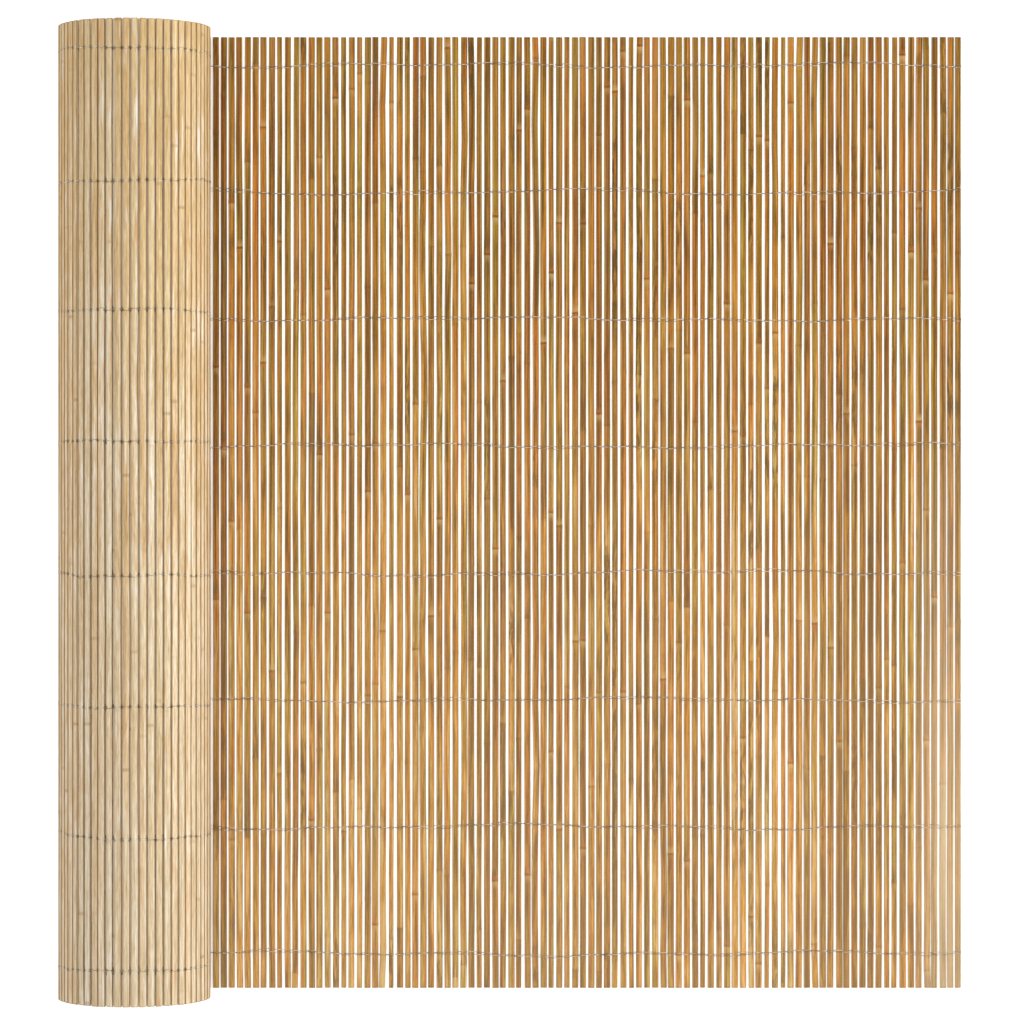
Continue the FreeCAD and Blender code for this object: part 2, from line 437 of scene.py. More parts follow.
class Nodes:
    """Makes a material's nodes and joins them up, so that each step of a pattern is one line."""

    def __init__(self, name):
        self.material = bpy.data.materials.new(name)
        self.material.use_nodes = True
        self.tree = self.material.node_tree
        self.tree.nodes.clear()
        self.output = self.tree.nodes.new("ShaderNodeOutputMaterial")
        self.shader = self.tree.nodes.new("ShaderNodeBsdfPrincipled")
        self.tree.links.new(self.shader.outputs[0], self.output.inputs["Surface"])

    def plug(self, value, socket):
        """Joins an output to a socket, or sets the socket to a plain value."""
        if isinstance(value, bpy.types.NodeSocket):
            self.tree.links.new(value, socket)
        elif value is not None:
            socket.default_value = value

    def attribute(self, name, output):
        """A named attribute of the mesh."""
        node = self.tree.nodes.new("ShaderNodeAttribute")
        node.attribute_name = name
        return node.outputs[output]

    def parts(self, vector):
        """The three parts of a vector."""
        node = self.tree.nodes.new("ShaderNodeSeparateXYZ")
        self.plug(vector, node.inputs[0])
        return node.outputs[0], node.outputs[1], node.outputs[2]

    def vector(self, x, y, z):
        """A vector of three values."""
        node = self.tree.nodes.new("ShaderNodeCombineXYZ")
        for value, socket in zip((x, y, z), node.inputs):
            self.plug(value, socket)
        return node.outputs[0]

    def math(self, operation, first, second=None, third=None, clamp=False):
        """One sum on two or three values."""
        node = self.tree.nodes.new("ShaderNodeMath")
        node.operation = operation
        node.use_clamp = clamp
        for value, socket in zip((first, second, third), node.inputs):
            self.plug(value, socket)
        return node.outputs[0]

    def times(self, first, *others):
        """Values multiplied together, one after the other."""
        for other in others:
            first = self.math("MULTIPLY", first, other)
        return first

    def noise(self, vector, scale=1.0, detail=2.0, roughness=0.5):
        """Noise from 0 to 1."""
        node = self.tree.nodes.new("ShaderNodeTexNoise")
        self.plug(vector, node.inputs["Vector"])
        node.inputs["Scale"].default_value = scale
        node.inputs["Detail"].default_value = detail
        node.inputs["Roughness"].default_value = roughness
        return node.outputs["Fac"]

    def chance(self, x, y, z):
        """A random value from 0 to 1 for each different set of three values."""
        node = self.tree.nodes.new("ShaderNodeTexWhiteNoise")
        node.noise_dimensions = "3D"
        self.plug(self.vector(x, y, z), node.inputs["Vector"])
        return node.outputs["Value"]

    def spread(self, value, low, high, to_low=0.0, to_high=1.0):
        """Stretches the range from low to high over another, and clamps it there."""
        node = self.tree.nodes.new("ShaderNodeMapRange")
        node.clamp = True
        for given, socket in zip((value, low, high, to_low, to_high), node.inputs):
            self.plug(given, socket)
        return node.outputs[0]

    def ramp(self, value, colours):
        """A row of colours with values of 0 to 255, evenly spaced from 0 to 1."""
        node = self.tree.nodes.new("ShaderNodeValToRGB")
        stops = node.color_ramp.elements
        while len(stops) < len(colours):
            stops.new(0.5)
        for index, colour in enumerate(colours):
            stops[index].position = index / (len(colours) - 1)
            stops[index].color = shade(*colour)
        self.plug(value, node.inputs[0])
        return node.outputs[0]

    def mix(self, share, first, second):
        """Two colours mixed. The share is that of the second."""
        node = self.tree.nodes.new("ShaderNodeMix")
        node.data_type = "RGBA"
        node.clamp_factor = True
        self.plug(share, node.inputs[0])
        self.plug(first, node.inputs[6])
        self.plug(second, node.inputs[7])
        return node.outputs[2]

    def bump(self, height, strength, distance):
        """Small unevenness, joined to the shader's normal."""
        node = self.tree.nodes.new("ShaderNodeBump")
        node.inputs["Strength"].default_value = strength
        node.inputs["Distance"].default_value = distance
        self.plug(height, node.inputs["Height"])
        self.plug(node.outputs[0], self.shader.inputs["Normal"])

    def finish(self, colour, roughness, metallic=0.0, specular=0.5):
        """Joins the colour and the roughness to the shader."""
        self.plug(colour, self.shader.inputs["Base Color"])
        self.plug(roughness, self.shader.inputs["Roughness"])
        self.shader.inputs["Metallic"].default_value = metallic
        self.shader.inputs["Specular IOR Level"].default_value = specular
        return self.material


class SlatNodes(Nodes):
    """Nodes of a material for slats, with what its patterns need: across, along and height in millimetres,
    a seed, a tone, how far the nearest of the bamboo's nodes is, and numbers for that node and for the
    section between two nodes."""

    def __init__(self, name):
        super().__init__(name)
        self.across, self.along, self.height = self.parts(self.attribute("slat_spot", "Vector"))
        seed, node_start, node_spacing = self.parts(self.attribute("slat_look", "Vector"))
        self.tone = self.attribute("slat_look", "Alpha")
        self.share = self.attribute("slat_share", "Fac")
        self.seed = self.math("MULTIPLY", seed, 977.0)
        from_start = self.math("SUBTRACT", self.math("MULTIPLY", self.along, TO_METRES), node_start)
        counted = self.math("DIVIDE", from_start, node_spacing)
        self.number = self.math("ROUND", counted)
        self.section = self.math("FLOOR", counted)
        self.from_node = self.times(self.math("SUBTRACT", counted, self.number), node_spacing, 1000.0)

    def grain(self, per_width, per_length, detail=2.0, roughness=0.5, along_shift=0.0, seed_shift=0.0):
        """Noise drawn out along the slat. The first two say how many of its specks fit in one millimetre
        across and one millimetre along, and a shift keeps it apart from noise of the same grain."""
        along = self.math("ADD", self.along, along_shift) if along_shift else self.along
        seed = self.math("ADD", self.seed, seed_shift) if seed_shift else self.seed
        spot = self.vector(
            self.math("MULTIPLY", self.across, per_width), self.math("MULTIPLY", along, per_length), seed)
        return self.noise(spot, detail=detail, roughness=roughness)

    def tint(self, share, red, green, blue):
        """Mixes this share of another colour into the material's own."""
        self.colour = self.mix(share, self.colour, shade(red, green, blue))

    def slat_chance(self, which):
        """A random value for each slat."""
        return self.chance(self.seed, which, 0.0)

    def section_chance(self, which):
        """A random value for each section of each slat."""
        return self.chance(self.section, self.seed, which)

    def node_chance(self, which):
        """A random value for each of the bamboo's nodes."""
        return self.chance(self.number, self.seed, which)

    def near_wire(self, inside, outside):
        """1 this near to a row of wire, in millimetres, and 0 further from it."""
        place = self.math("SUBTRACT", self.attribute("slat_straightened", "Fac"), LOWEST_WIRE)
        distance = self.math("ABSOLUTE", self.math("WRAP", place, WIRE_SPACING / 2, -WIRE_SPACING / 2))
        return self.spread(distance, inside, outside, 1.0, 0.0)


def shade(red, green, blue):
    """A colour as a shader takes it, from its values of 0 to 255 on a screen."""
    linear = []
    for value in (red / 255, green / 255, blue / 255):
        linear.append(value / 12.92 if value <= 0.04045 else ((value + 0.055) / 1.055) ** 2.4)
    return (*linear, 1.0)


# Colours of the skin, from dark to light.
GOLDEN_SKIN = (
    (112, 75, 18), (152, 107, 30), (170, 121, 42),
    (187, 137, 52), (204, 156, 70), (220, 184, 122))
RUSTY_SKIN = (
    (116, 64, 14), (158, 93, 24), (182, 109, 30),
    (203, 126, 40), (219, 146, 56), (232, 178, 108))
OLIVE_SKIN = (
    (90, 70, 18), (128, 101, 28), (153, 125, 38),
    (174, 144, 50), (191, 162, 68), (212, 190, 126))

# Colours of the split sides, from dark to light.
WARM_SPLIT = (
    (180, 142, 92), (207, 172, 122), (226, 196, 152), (240, 220, 186),
    (250, 242, 228))
COOL_SPLIT = (
    (170, 148, 108), (197, 176, 134), (217, 200, 164), (234, 222, 196),
    (248, 242, 230))


def skin_depth(nodes, streaks):
    """How light the skin is, from 0 to 1, in bands, clouds and streaks, lighter below, with painted sheen at
    the left.
    """
    bands = nodes.grain(0.3, 0.009)
    clouds = nodes.grain(0.4, 0.024, detail=4.0, roughness=0.65)
    depth = nodes.math("MULTIPLY_ADD", nodes.tone, 0.3, -1.275)
    for part, weight in ((nodes.section_chance(3.0), 0.26), (bands, 0.8), (clouds, 1.15)):
        depth = nodes.math("MULTIPLY_ADD", part, weight, depth)
    depth = nodes.times(depth, nodes.spread(nodes.along, -HALF_HEIGHT, HALF_HEIGHT, 2.3, 0.7))
    # Painted sheen at the left edge of the skin and painted shade at the right edge.
    depth = nodes.math("ADD", depth, nodes.spread(nodes.share, -0.8, 0.8, 0.05, -0.05))
    depth = nodes.math("MULTIPLY_ADD", streaks, 2.0, depth)
    lower_light = nodes.spread(nodes.along, -HALF_HEIGHT, HALF_HEIGHT, -0.53, -0.73)
    return nodes.math("ADD", depth, lower_light, clamp=True)


def skin_hues(nodes, depth):
    """Rusty, golden and olive browns, which run into each other along the slats."""
    hue = nodes.math("MULTIPLY_ADD", nodes.grain(0.55, 0.005, along_shift=3000.0), 2.2, -0.6)
    hue = nodes.math("MULTIPLY_ADD", nodes.section_chance(5.0), 0.3, hue)
    rusty = nodes.ramp(depth, RUSTY_SKIN)
    colour = nodes.mix(nodes.spread(hue, 0.45, 0.7), rusty, nodes.ramp(depth, GOLDEN_SKIN))
    return nodes.mix(nodes.spread(hue, 0.72, 0.98), colour, nodes.ramp(depth, OLIVE_SKIN))


def paint_edge_sheen_and_shade(nodes):
    """Painted sheen on the skin's left edge and painted shade on its right edge, more on some slats."""
    left = nodes.times(
        nodes.spread(nodes.share, -0.55, -0.9), nodes.spread(nodes.slat_chance(6.0), 0.1, 0.9, 0.2, 0.85))
    right = nodes.times(
        nodes.spread(nodes.share, 0.45, 0.88), nodes.spread(nodes.slat_chance(7.0), 0.1, 0.9, 0.1, 0.7))
    # Painted sheen on the left edge, painted shade on the right edge.
    nodes.tint(left, 206, 182, 144)
    nodes.tint(right, 136, 106, 54)


def blotch_skin(nodes):
    """Soft dark smudges across whole slats, darker blotches on some of them, and small specks."""
    smoky = nodes.grain(0.15, 0.02, seed_shift=53.0)
    nodes.tint(nodes.spread(smoky, 0.56, 0.74, 0.0, 0.55), 92, 62, 16)
    blotches = nodes.grain(0.36, 0.05, detail=3.0, roughness=0.6)
    blotched = nodes.grain(0.0, 0.005, detail=1.0)
    blotched = nodes.math("MULTIPLY_ADD", nodes.slat_chance(9.0), 0.25, blotched)
    blotch = nodes.times(nodes.spread(blotches, 0.42, 0.58), nodes.spread(blotched, 0.74, 0.86), 0.8)
    nodes.tint(blotch, 78, 54, 14)
    nodes.tint(nodes.spread(blotches, 0.66, 0.72, 0.0, 0.4), 100, 62, 26)


def mark_skin_nodes(nodes):
    """A dark ring at each of the bamboo's nodes, with a long smudge and rust on the one side and a pale
    bloom on the other. Which side is up differs from slat to slat."""
    turned_up = nodes.math("GREATER_THAN", nodes.slat_chance(11.0), 0.35)
    from_node = nodes.times(nodes.from_node, nodes.math("MULTIPLY_ADD", turned_up, 2.0, -1.0))
    from_node = nodes.math("ADD", from_node, nodes.spread(nodes.grain(0.8, 0.3), 0.2, 0.8, -0.9, 0.9))
    strength = nodes.node_chance(8.0)
    smudge_reach = nodes.spread(nodes.node_chance(15.0), 0.0, 1.0, 10.0, 75.0)
    smudge = nodes.times(
        nodes.spread(from_node, smudge_reach, 1.0), nodes.spread(from_node, 0.0, 1.0),
        nodes.spread(nodes.node_chance(14.0), 0.5, 0.85, 0.0, 0.85),
        nodes.spread(nodes.grain(0.4, 0.045), 0.36, 0.56))
    rust = nodes.times(
        nodes.spread(from_node, 7.0, 1.0), nodes.spread(from_node, 0.0, 1.0),
        nodes.spread(strength, 0.5, 0.9, 0.0, 0.6))
    bloom = nodes.times(
        nodes.spread(from_node, -1.0, -2.0), nodes.spread(from_node, -10.0, -3.0),
        nodes.spread(strength, 0.4, 0.9, 0.0, 0.6))
    off_ring = nodes.spread(nodes.math("ABSOLUTE", from_node), 0.3, 1.5)
    ring = nodes.times(nodes.math("SUBTRACT", 1.0, off_ring), nodes.spread(strength, 0.3, 0.9, 0.05, 0.75))
    nodes.tint(smudge, 88, 60, 18)
    nodes.tint(rust, 196, 112, 38)
    nodes.tint(bloom, 204, 170, 108)
    nodes.tint(ring, 100, 64, 26)


def weather_and_shade_skin(nodes, stripes, fibres):
    """Paler towards the lower ends, chalky stripes on the bleached slats, painted wire shade, dark cut ends."""
    nodes.tint(nodes.spread(nodes.along, 250.0, -HALF_HEIGHT, 0.0, 0.22), 226, 186, 132)
    chalky = nodes.times(
        nodes.attribute("slat_bleached", "Fac"), nodes.spread(nodes.along, 100.0, -330.0, 0.0, 0.9),
        nodes.spread(stripes, 0.36, 0.52, 0.35, 1.0))
    chalk = nodes.mix(fibres, shade(188, 156, 106), shade(222, 200, 164))
    nodes.colour = nodes.mix(chalky, nodes.colour, chalk)
    # Painted shade: darker along the rows of wire, where the wire shades the skin.
    stains_and_wire_shade = nodes.times(
        nodes.near_wire(0.5, 1.8), nodes.spread(nodes.section_chance(21.0), 0.2, 0.9, 0.0, 0.6))
    nodes.tint(stains_and_wire_shade, 108, 80, 44)
    nodes.tint(nodes.spread(nodes.math("ABSOLUTE", nodes.along), 498.2, 499.6, 0.0, 0.35), 96, 62, 26)


def skin_material():
    """The outside of the bamboo: a satin of golden, rusty and olive browns, streaked along the slat."""
    nodes = SlatNodes("bamboo skin")
    streaks = nodes.grain(0.55, 0.004, roughness=0.7)
    fibres = nodes.grain(3.2, 0.05)
    stripes = nodes.grain(0.85, 0.005, detail=1.0, seed_shift=31.0)
    nodes.colour = skin_hues(nodes, skin_depth(nodes, streaks))
    nodes.tint(nodes.spread(fibres, 0.4, 0.75, 0.0, 0.2), 104, 70, 26)
    nodes.tint(nodes.spread(stripes, 0.52, 0.66, 0.0, 0.32), 188, 150, 98)
    paint_edge_sheen_and_shade(nodes)
    blotch_skin(nodes)
    mark_skin_nodes(nodes)
    weather_and_shade_skin(nodes, stripes, fibres)
    nodes.bump(nodes.math("ADD", fibres, nodes.math("MULTIPLY", streaks, 0.6)), 0.35, 0.0002)
    return nodes.finish(nodes.colour, nodes.spread(streaks, 0.3, 0.7, 0.36, 0.55), specular=0.1)


def split_hues(nodes):
    """Warm and cool straw colours, in bands, clouds and streaks."""
    bands = nodes.grain(0.22, 0.007)
    clouds = nodes.grain(0.55, 0.06, detail=3.0, roughness=0.65)
    streaks = nodes.grain(0.6, 0.011, detail=4.0, roughness=0.65)
    depth = nodes.math("MULTIPLY_ADD", nodes.tone, 0.3, -1.34)
    for part, weight in ((bands, 0.75), (clouds, 1.15), (streaks, 1.4)):
        depth = nodes.math("MULTIPLY_ADD", part, weight, depth)
    depth = nodes.math("ADD", depth, nodes.spread(nodes.along, 0.0, HALF_HEIGHT, 0.0, -0.12), clamp=True)
    hue = nodes.math("MULTIPLY_ADD", nodes.slat_chance(2.0), 0.35, nodes.grain(0.4, 0.006))
    hue = nodes.math("ADD", hue, nodes.spread(nodes.along, -HALF_HEIGHT, HALF_HEIGHT, 0.1, -0.04))
    warm = nodes.ramp(depth, WARM_SPLIT)
    return nodes.mix(nodes.spread(hue, 0.55, 0.95), warm, nodes.ramp(depth, COOL_SPLIT))


def weather_split(nodes):
    """Yellower above and greyer below, with chalky and stained patches."""
    nodes.tint(nodes.spread(nodes.along, 0.0, HALF_HEIGHT, 0.0, 0.3), 216, 184, 120)
    nodes.tint(nodes.spread(nodes.along, 100.0, -HALF_HEIGHT, 0.0, 0.2), 216, 204, 184)
    chalky = nodes.grain(0.25, 0.014, detail=3.0)
    nodes.tint(nodes.spread(chalky, 0.6, 0.72, 0.0, 0.75), 246, 242, 232)
    stains_and_wire_shade = nodes.grain(0.3, 0.02)
    nodes.tint(nodes.spread(stains_and_wire_shade, 0.62, 0.74, 0.0, 0.6), 208, 148, 88)


def paint_gap_light_and_shade(nodes, from_middle):
    """Painted shade on the backs' margins and the walls' mouths, painted light deeper on the walls and on
    covered slats.
    """
    # Painted shade of the gaps, on the margins of the backs.
    nodes.tint(nodes.spread(from_middle, 0.78, 0.95, 0.0, 0.4), 156, 112, 66)
    # Painted shade at the mouths of the gaps, on the walls near the backs.
    nodes.tint(nodes.spread(nodes.height, 0.1, 0.2, 0.0, 0.9), 162, 116, 66)
    # Painted light on the deeper walls, so that the gaps read lit.
    nodes.tint(nodes.spread(nodes.height, 0.7, 1.5), 253, 238, 206)
    # Painted light: the covered slats are made pale and warm.
    nodes.tint(nodes.spread(nodes.tone, 2.0, 3.0), 253, 236, 204)


def mark_split(nodes, from_middle):
    """Painted shade of wider gaps where the wires press on the margins, a ring at each node, and dark cut
    ends.
    """
    # Painted shade beside the rows of wire, where the wires part the slats and the gaps open wider.
    stains_and_wire_shade = nodes.times(
        nodes.near_wire(0.6, 2.0), nodes.spread(from_middle, 0.5, 0.85, 0.0, 0.9),
        nodes.spread(nodes.section_chance(21.0), 0.0, 0.8, 0.3, 1.0))
    nodes.tint(stains_and_wire_shade, 112, 80, 46)
    off_ring = nodes.spread(nodes.math("ABSOLUTE", nodes.from_node), 0.6, 2.6)
    strength = nodes.spread(nodes.node_chance(8.0), 0.2, 0.9, 0.0, 0.45)
    nodes.tint(nodes.times(nodes.math("SUBTRACT", 1.0, off_ring), strength), 150, 104, 60)
    nodes.tint(nodes.spread(nodes.math("ABSOLUTE", nodes.along), 498.4, 499.7, 0.0, 0.4), 140, 100, 54)


def split_material():
    """The split side of the bamboo: pale, matt and fibrous."""
    nodes = SlatNodes("split bamboo")
    fibres = nodes.noise(nodes.vector(
        nodes.math("MULTIPLY", nodes.across, 3.6), nodes.math("MULTIPLY", nodes.along, 0.035),
        nodes.math("MULTIPLY_ADD", nodes.height, 3.0, nodes.seed)), detail=3.0, roughness=0.6)
    from_middle = nodes.math("ABSOLUTE", nodes.share)
    nodes.colour = split_hues(nodes)
    nodes.tint(nodes.spread(fibres, 0.5, 0.72, 0.0, 0.4), 150, 110, 66)
    weather_split(nodes)
    paint_gap_light_and_shade(nodes, from_middle)
    mark_split(nodes, from_middle)
    nodes.bump(fibres, 0.6, 0.0003)
    return nodes.finish(nodes.colour, nodes.spread(fibres, 0.3, 0.7, 0.6, 0.8), specular=0.1)


def end_material():
    """The sawn ends: pale, with the dark dots of the fibres, strongest near the skin."""
    nodes = SlatNodes("sawn bamboo end")
    cells = nodes.tree.nodes.new("ShaderNodeTexVoronoi")
    cells.feature = "F1"
    cells.inputs["Scale"].default_value = 1.0
    spot = nodes.vector(
        nodes.math("MULTIPLY", nodes.across, 2.2), nodes.math("MULTIPLY", nodes.height, 2.6), nodes.seed)
    nodes.plug(spot, cells.inputs["Vector"])
    near_skin = nodes.spread(nodes.height, 1.6, 2.6)
    dots = nodes.times(
        nodes.spread(cells.outputs["Distance"], 0.24, 0.42, 1.0, 0.0),
        nodes.spread(near_skin, 0.0, 1.0, 0.35, 0.75))
    rough = nodes.noise(nodes.vector(nodes.across, nodes.height, nodes.seed), scale=3.0, detail=3.0)
    nodes.colour = nodes.mix(rough, shade(196, 164, 112), shade(226, 204, 160))
    nodes.tint(dots, 120, 84, 46)
    nodes.tint(nodes.times(near_skin, 0.35), 140, 104, 54)
    nodes.bump(rough, 0.4, 0.0002)
    return nodes.finish(nodes.colour, 0.8, specular=0.25)


def wire_material(colour):
    """Thin galvanised wire, with dark patches that are partly its own dulling and partly painted shade."""
    nodes = Nodes("galvanised wire")
    coordinates = nodes.tree.nodes.new("ShaderNodeTexCoord").outputs["Object"]
    specks = nodes.noise(coordinates, scale=900.0)
    dulling_and_shade = nodes.noise(coordinates, scale=110.0)
    # Dark patches: partly the zinc's own dulling, partly painted shade standing in for the dark spots along
    # the wire.
    tint = nodes.mix(nodes.spread(dulling_and_shade, 0.44, 0.58), (*colour, 1.0), shade(138, 122, 102))
    return nodes.finish(tint, nodes.spread(specks, 0.3, 0.7, 0.25, 0.45), metallic=1.0)


# Wires

# How a row of wire strays along the slats, in waves: how far, and how short and long the wave may be.
WANDER_WAVES = ((2.0, 380.0, 640.0), (1.3, 140.0, 230.0), (0.6, 45.0, 80.0))

# How short and long the waves may be in which a row's strands part, how far they part, and how often.
PARTING_WAVES = ((160.0, 280.0), (60.0, 110.0))
PARTING_REACH = 1.2
PARTING_LIFT = 0.5

# How far a turn's rows lie to one side, and the next turn's to the other.
BESIDE = 0.5

# How a strand crosses a slat: its own stray, its slant, its distance from the skin and from the slat's sides.
MOST_STRAY = 0.4
SLANT = 0.22
SKIN_CLEARANCE = 0.02
SIDE_INSET = 0.1

# How the strands go round each other in a gap: how far apart, up and down, and along the fence.
TWIST_WIDTHS = (0.25, 0.3, 0.4)
TWIST_RISE = 0.62
TWIST_REACH = 0.35

# The strands round the free edge, and their folded tail: further in, along the slat, and up.
EDGE_SPREAD = 0.3
TAIL_STEPS = ((0.1, 0.5, 0.0), (2.0, 1.3, 0.1), (4.2, 1.6, 0.3))


def wander(row, from_edge):
    """How far a row of wire strays along the slats at this place, in millimetres."""
    draw = random.Random(4200 + row)
    strayed = 0.0
    for reach, low, high in WANDER_WAVES:
        length = draw.uniform(low, high)
        reach = reach * draw.uniform(0.7, 1.2)
        strayed += reach * math.sin(FULL_TURN * from_edge / length + draw.uniform(0, FULL_TURN))
    return strayed


def row_place(row, slat):
    """Where a row of wire crosses a slat. In the roll the rows of one turn lie beside those of the next."""
    beside = BESIDE if slat.turn % 2 else -BESIDE
    return WIRE_ROWS[row] + wander(row, from_edge_of(slat.number)) + beside


def parting(row, from_edge):
    """How far apart a row's two strands lie at this place, in millimetres. In some stretches they touch."""
    draw = random.Random(4300 + row)
    slack = 0.0
    for low, high in PARTING_WAVES:
        length = draw.uniform(low, high)
        slack += math.sin(FULL_TURN * from_edge / length + draw.uniform(0, FULL_TURN))
    return PARTING_REACH * max(0.0, slack + PARTING_LIFT)


def round_edge(row, slat, radius):
    """Where a row of wire goes round the outside of the last slat: from the free edge, and along the slat."""
    middle = from_edge_of(slat.number)
    return middle - slat.sway[0] - slat.width / 2 - radius, WIRE_ROWS[row] + wander(row, middle)


def edge_turn(row, slat, way, radius):
    """The point where a strand goes round the outside of the last slat, to meet the other strand."""
    side, place = round_edge(row, slat, radius)
    return [(side, place + EDGE_SPREAD * way, slat.thickness / 2 + 0.5 * radius * way)]


def edge_tail(row, slat, radius):
    """Points of the cut end of wire that is folded back over the skin of the last slat."""
    side, place = round_edge(row, slat, radius)
    top = slat.thickness + radius
    tail = [(side + inwards, place + aside, top + up) for inwards, aside, up in TAIL_STEPS]
    return [(side, place, slat.thickness / 2)] + tail


def crossing_height(slat, side, step, radius):
    """How high above the slat's back a strand's middle is, this far from the slat's own middle."""
    _, turned = slat_frame(slat.number)
    bend = 0.0 if slat.turn == 0 else 1 / (BACK_RADIUS - TURN_PITCH * turned / FULL_TURN)
    drop = step * step * bend / 2
    if side < 0:
        return -radius - drop
    return slat.thickness + radius + SKIN_CLEARANCE - slat.crown * (step / slat.width) ** 2 * 2 - drop


def strand_points(row, slats, way, radius, fine):
    """Points of one of a row's two strands over these slats, in millimetres. The way is 1 for the strand
    that lies further up the slats, and -1 for the other.
    It goes over one slat and under the next, and round the other strand in each gap."""
    points = []
    for slat in slats:
        side = way if slat.number % 2 else -way
        middle = from_edge_of(slat.number)
        draw = random.Random(row * 1000 + slat.number)
        place = row_place(row, slat) + draw.uniform(-MOST_STRAY, MOST_STRAY)
        turn_round = draw.choice(TWIST_WIDTHS) * way
        centre = middle - float(smooth_between(HOLD_PLACES, slat.sway, np.array([place]))[0])
        place = place + parting(row, middle) / 2 * way
        reach = slat.width / 2 - SIDE_INSET
        for step in (-reach, 0.0, reach) if fine else (-reach, reach):
            height = crossing_height(slat, side, step, radius)
            points.append((centre + step, place + SLANT * side * way, height))
        if fine:
            gap = middle + SLAT_PITCH / 2
            rise = TWIST_RISE * side
            points.append((gap - TWIST_REACH, place + turn_round, slat.thickness / 2 + rise))
            points.append((gap + TWIST_REACH, place + turn_round, slat.thickness / 2 - rise))
    return points


def strand_spline(curve, points):
    """Adds a run of wire through these points of the fence."""
    spline = curve.splines.new("POLY")
    spline.points.add(len(points) - 1)
    for target, (from_edge, along, height) in zip(spline.points, points):
        x, z = on_fence(from_edge, height)
        target.co = (x * TO_METRES, along * TO_METRES, z * TO_METRES, 1.0)


def wire_mesh(name, runs, radius, roundness):
    """A mesh of these runs of wire."""
    curve = bpy.data.curves.new(name, "CURVE")
    curve.dimensions = "3D"
    curve.bevel_depth = radius * TO_METRES
    curve.bevel_resolution = roundness
    curve.use_fill_caps = True
    for points in runs:
        strand_spline(curve, points)
    holder = add_object(name, curve)
    bpy.context.view_layer.update()
    mesh = bpy.data.meshes.new_from_object(holder.evaluated_get(bpy.context.evaluated_depsgraph_get()))
    bpy.data.objects.remove(holder)
    return mesh


def wire_row(row, slats, sizes, material):
    """Both strands of one row, along the flat stretch and through every turn of the roll."""
    radius = sizes.wire_diameter / 2
    near_edge = [slat for slat in slats if slat.turn <= 1]
    hidden = [slat for slat in slats if 1 < slat.turn < LAST_TURN]
    in_bore = [slat for slat in slats if slat.turn == LAST_TURN]
    builder = bmesh.new()
    for group, fine, roundness in ((near_edge, True, 1), (hidden, False, 0), (in_bore, True, 1)):
        runs = [strand_points(row, group, way, radius, fine) for way in (-1, 1)]
        if group is near_edge:
            runs = [edge_turn(row, group[0], way, radius) + run for way, run in zip((-1, 1), runs)]
            runs.append(edge_tail(row, group[0], radius))
        mesh = wire_mesh("wire_run", runs, radius, roundness)
        builder.from_mesh(mesh)
        bpy.data.meshes.remove(mesh)
    name = "wire_pair_%d" % (row + 1)
    mesh = bpy.data.meshes.new(name)
    builder.to_mesh(mesh)
    builder.free()
    mesh.shade_smooth()
    mesh.materials.append(material)
    return add_object(name, mesh)


# The studio, in metres and watts

FLOOR_HALF_SIZE = 4.0

# The floor glows a little where it is seen, and more where the lamps don't reach.
GLOW_PLACES = (0.7, 1.8)
GLOWS = (0.56, 0.9)

# How bright the sky is where it lights the fence, and where it is seen.
SKY_LIGHT = 0.34
SKY_SEEN = 1.0

# Name, place, size and power of each lamp.
LAMPS = (
    ("lamp at the right", (2.2, 0.0, 0.42), (0.5, 3.0), 80.0),
    ("lamp at the left", (-2.6, 0.0, 0.5), (0.5, 3.0), 14.0),
    ("lamp above", (AXIS_X * TO_METRES, 0.0, 4.2), (1.6, 4.0), 86.0),
)

CAMERA_PLACE = (-0.0024, 0.0005, 3.907)
CAMERA_LENS = 130.5
CAMERA_SENSOR = 36.0


def seen_rays(tree):
    """1 where something is seen, and 0 where it only gives light."""
    path = tree.nodes.new("ShaderNodeLightPath")
    seen = path.outputs["Is Camera Ray"]
    for kind in ("Is Glossy Ray", "Is Transmission Ray"):
        either = tree.nodes.new("ShaderNodeMath")
        either.operation = "MAXIMUM"
        tree.links.new(seen, either.inputs[0])
        tree.links.new(path.outputs[kind], either.inputs[1])
        seen = either.outputs[0]
    return seen


# What a user would change

class FenceSizes(bpy.types.PropertyGroup):
    """Sizes of the slats and wires, in millimetres."""
    slat_width: FloatProperty(
        name="Slat width", description="Width of a whole slat on the flat stretch", default=6.6)
    rolled_slat_width: FloatProperty(
        name="Rolled slat width", description="Width of a whole slat in the roll", default=6.75)
    wire_diameter: FloatProperty(
        name="Wire diameter", description="Thickness of one strand of wire", default=0.6)


class FenceColours(bpy.types.PropertyGroup):
    """Colours of the wires and of the studio."""
    wire: FloatVectorProperty(
        name="Wire", description="Colour of the galvanised wire", subtype="COLOR", default=(0.62, 0.59, 0.53))
    floor: FloatVectorProperty(
        name="Floor", description="Colour of the studio floor", subtype="COLOR", default=(0.9, 0.9, 0.9))


class FENCE_OT_add_slats(bpy.types.Operator):
    """Add the slats of the flat stretch and of each turn of the roll"""
    bl_idname = "fence.add_slats"
    bl_label = "Add slats"

    def execute(self, context):
        slats = all_slats(context.scene.fence_sizes)
        materials = [skin_material(), split_material(), end_material()]
        for turn in range(LAST_TURN + 1):
            node = "flat_slats" if turn == 0 else "roll_turn_%02d_slats" % turn
            station_count = SHOWN_STATIONS if turn <= 1 else HIDDEN_STATIONS
            chosen = [slat for slat in slats if slat.turn == turn]
            piece = join_slats("dressed_" + node, chosen, station_count, materials)
            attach(piece, "root")
            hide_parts(node)
        return {"FINISHED"}


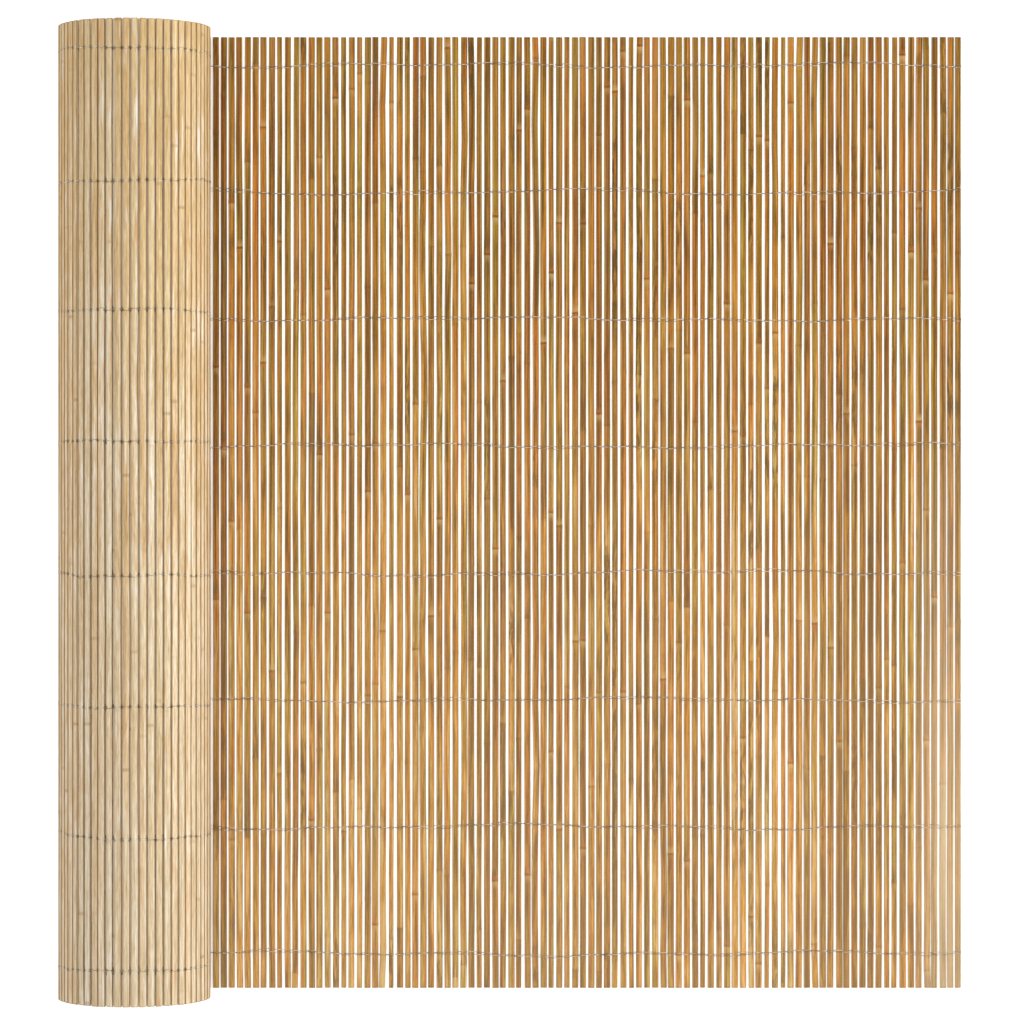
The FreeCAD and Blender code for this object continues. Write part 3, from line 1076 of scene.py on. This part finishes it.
class FENCE_OT_add_wires(bpy.types.Operator):
    """Add the twisted pair of wires of each row"""
    bl_idname = "fence.add_wires"
    bl_label = "Add wires"

    def execute(self, context):
        sizes = context.scene.fence_sizes
        slats = all_slats(sizes)
        material = wire_material(context.scene.fence_colours.wire)
        for row in range(len(WIRE_ROWS)):
            piece = wire_row(row, slats, sizes, material)
            number = row + 1
            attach(piece, "root")
            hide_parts("back_wire_%d" % number, "front_wire_%d" % number,
                        "roll_wire_%d" % number, "bore_wire_%d" % number)
        return {"FINISHED"}


class FENCE_OT_add_stage(bpy.types.Operator):
    """Add the floor, the sky, the lamps and the camera above the fence"""
    bl_idname = "fence.add_stage"
    bl_label = "Add studio"

    def execute(self, context):
        self.add_floor(context.scene.fence_colours.floor)
        self.add_sky()
        for name, place, size, watts in LAMPS:
            self.add_lamp(name, place, size, watts)
        self.add_camera()
        context.scene.view_settings.view_transform = "Standard"
        return {"FINISHED"}

    def add_floor(self, colour):
        """A pale floor that reads white where nothing shades it, also far from the lamps."""
        builder = bmesh.new()
        bmesh.ops.create_grid(builder, x_segments=1, y_segments=1, size=FLOOR_HALF_SIZE)
        mesh = bpy.data.meshes.new("floor")
        builder.to_mesh(mesh)
        builder.free()
        floor = add_object("floor", mesh)
        nodes = Nodes("studio floor")
        nodes.finish((*colour, 1.0), 0.9, specular=0.0)
        seen = seen_rays(nodes.tree)
        nodes.shader.inputs["Emission Color"].default_value = (1.0, 1.0, 1.0, 1.0)
        x, y, _ = nodes.parts(nodes.tree.nodes.new("ShaderNodeTexCoord").outputs["Object"])
        from_middle = nodes.math("SQRT", nodes.math("MULTIPLY_ADD", x, x, nodes.math("MULTIPLY", y, y)))
        glow = nodes.spread(from_middle, *GLOW_PLACES, *GLOWS)
        nodes.plug(nodes.math("MULTIPLY", seen, glow), nodes.shader.inputs["Emission Strength"])
        mesh.materials.append(nodes.material)

    def add_sky(self):
        """An even white sky, brighter where it is seen than where it lights the fence."""
        world = bpy.data.worlds.new("studio sky")
        bpy.context.scene.world = world
        world.use_nodes = True
        tree = world.node_tree
        background = tree.nodes["Background"]
        background.inputs["Color"].default_value = (1.0, 1.0, 1.0, 1.0)
        seen = seen_rays(tree)
        strength = tree.nodes.new("ShaderNodeMapRange")
        strength.inputs["To Min"].default_value = SKY_LIGHT
        strength.inputs["To Max"].default_value = SKY_SEEN
        tree.links.new(seen, strength.inputs["Value"])
        tree.links.new(strength.outputs["Result"], background.inputs["Strength"])

    def add_lamp(self, name, place, size, watts):
        """A soft rectangular lamp that faces the roll and isn't seen itself."""
        lamp = bpy.data.lights.new(name, "AREA")
        lamp.shape = "RECTANGLE"
        lamp.size, lamp.size_y = size
        lamp.energy = watts
        holder = add_object(name, lamp)
        holder.location = place
        aim = Vector((AXIS_X, 0.0, AXIS_HEIGHT)) * TO_METRES - holder.location
        holder.rotation_euler = aim.to_track_quat("-Z", "Y").to_euler()
        holder.visible_camera = False

    def add_camera(self):
        """Straight above the fence, with the slats running up the picture."""
        camera = bpy.data.cameras.new("camera")
        camera.lens = CAMERA_LENS
        camera.sensor_width = CAMERA_SENSOR
        holder = add_object("camera", camera)
        holder.location = CAMERA_PLACE
        bpy.context.scene.camera = holder


class FENCE_PT_panel(bpy.types.Panel):
    """Sizes, colours and buttons of the fence"""
    bl_label = "Bamboo fence"
    bl_idname = "FENCE_PT_panel"
    bl_space_type = "VIEW_3D"
    bl_region_type = "UI"
    bl_category = "Fence"

    def draw(self, context):
        layout = self.layout
        for name in ("slat_width", "rolled_slat_width", "wire_diameter"):
            layout.prop(context.scene.fence_sizes, name)
        for name in ("wire", "floor"):
            layout.prop(context.scene.fence_colours, name)
        for operator in ("fence.add_slats", "fence.add_wires", "fence.add_stage"):
            layout.operator(operator)


CLASSES = (
    FenceSizes, FenceColours, FENCE_OT_add_slats, FENCE_OT_add_wires, FENCE_OT_add_stage, FENCE_PT_panel)


def register():
    for each in CLASSES:
        bpy.utils.register_class(each)
    bpy.types.Scene.fence_sizes = PointerProperty(type=FenceSizes)
    bpy.types.Scene.fence_colours = PointerProperty(type=FenceColours)


def unregister():
    del bpy.types.Scene.fence_colours
    del bpy.types.Scene.fence_sizes
    for each in reversed(CLASSES):
        bpy.utils.unregister_class(each)


def main():
    """Builds the fence and its studio."""
    register()
    bpy.ops.fence.add_slats()
    bpy.ops.fence.add_wires()
    bpy.ops.fence.add_stage()


if __name__ == "__main__":
    main()
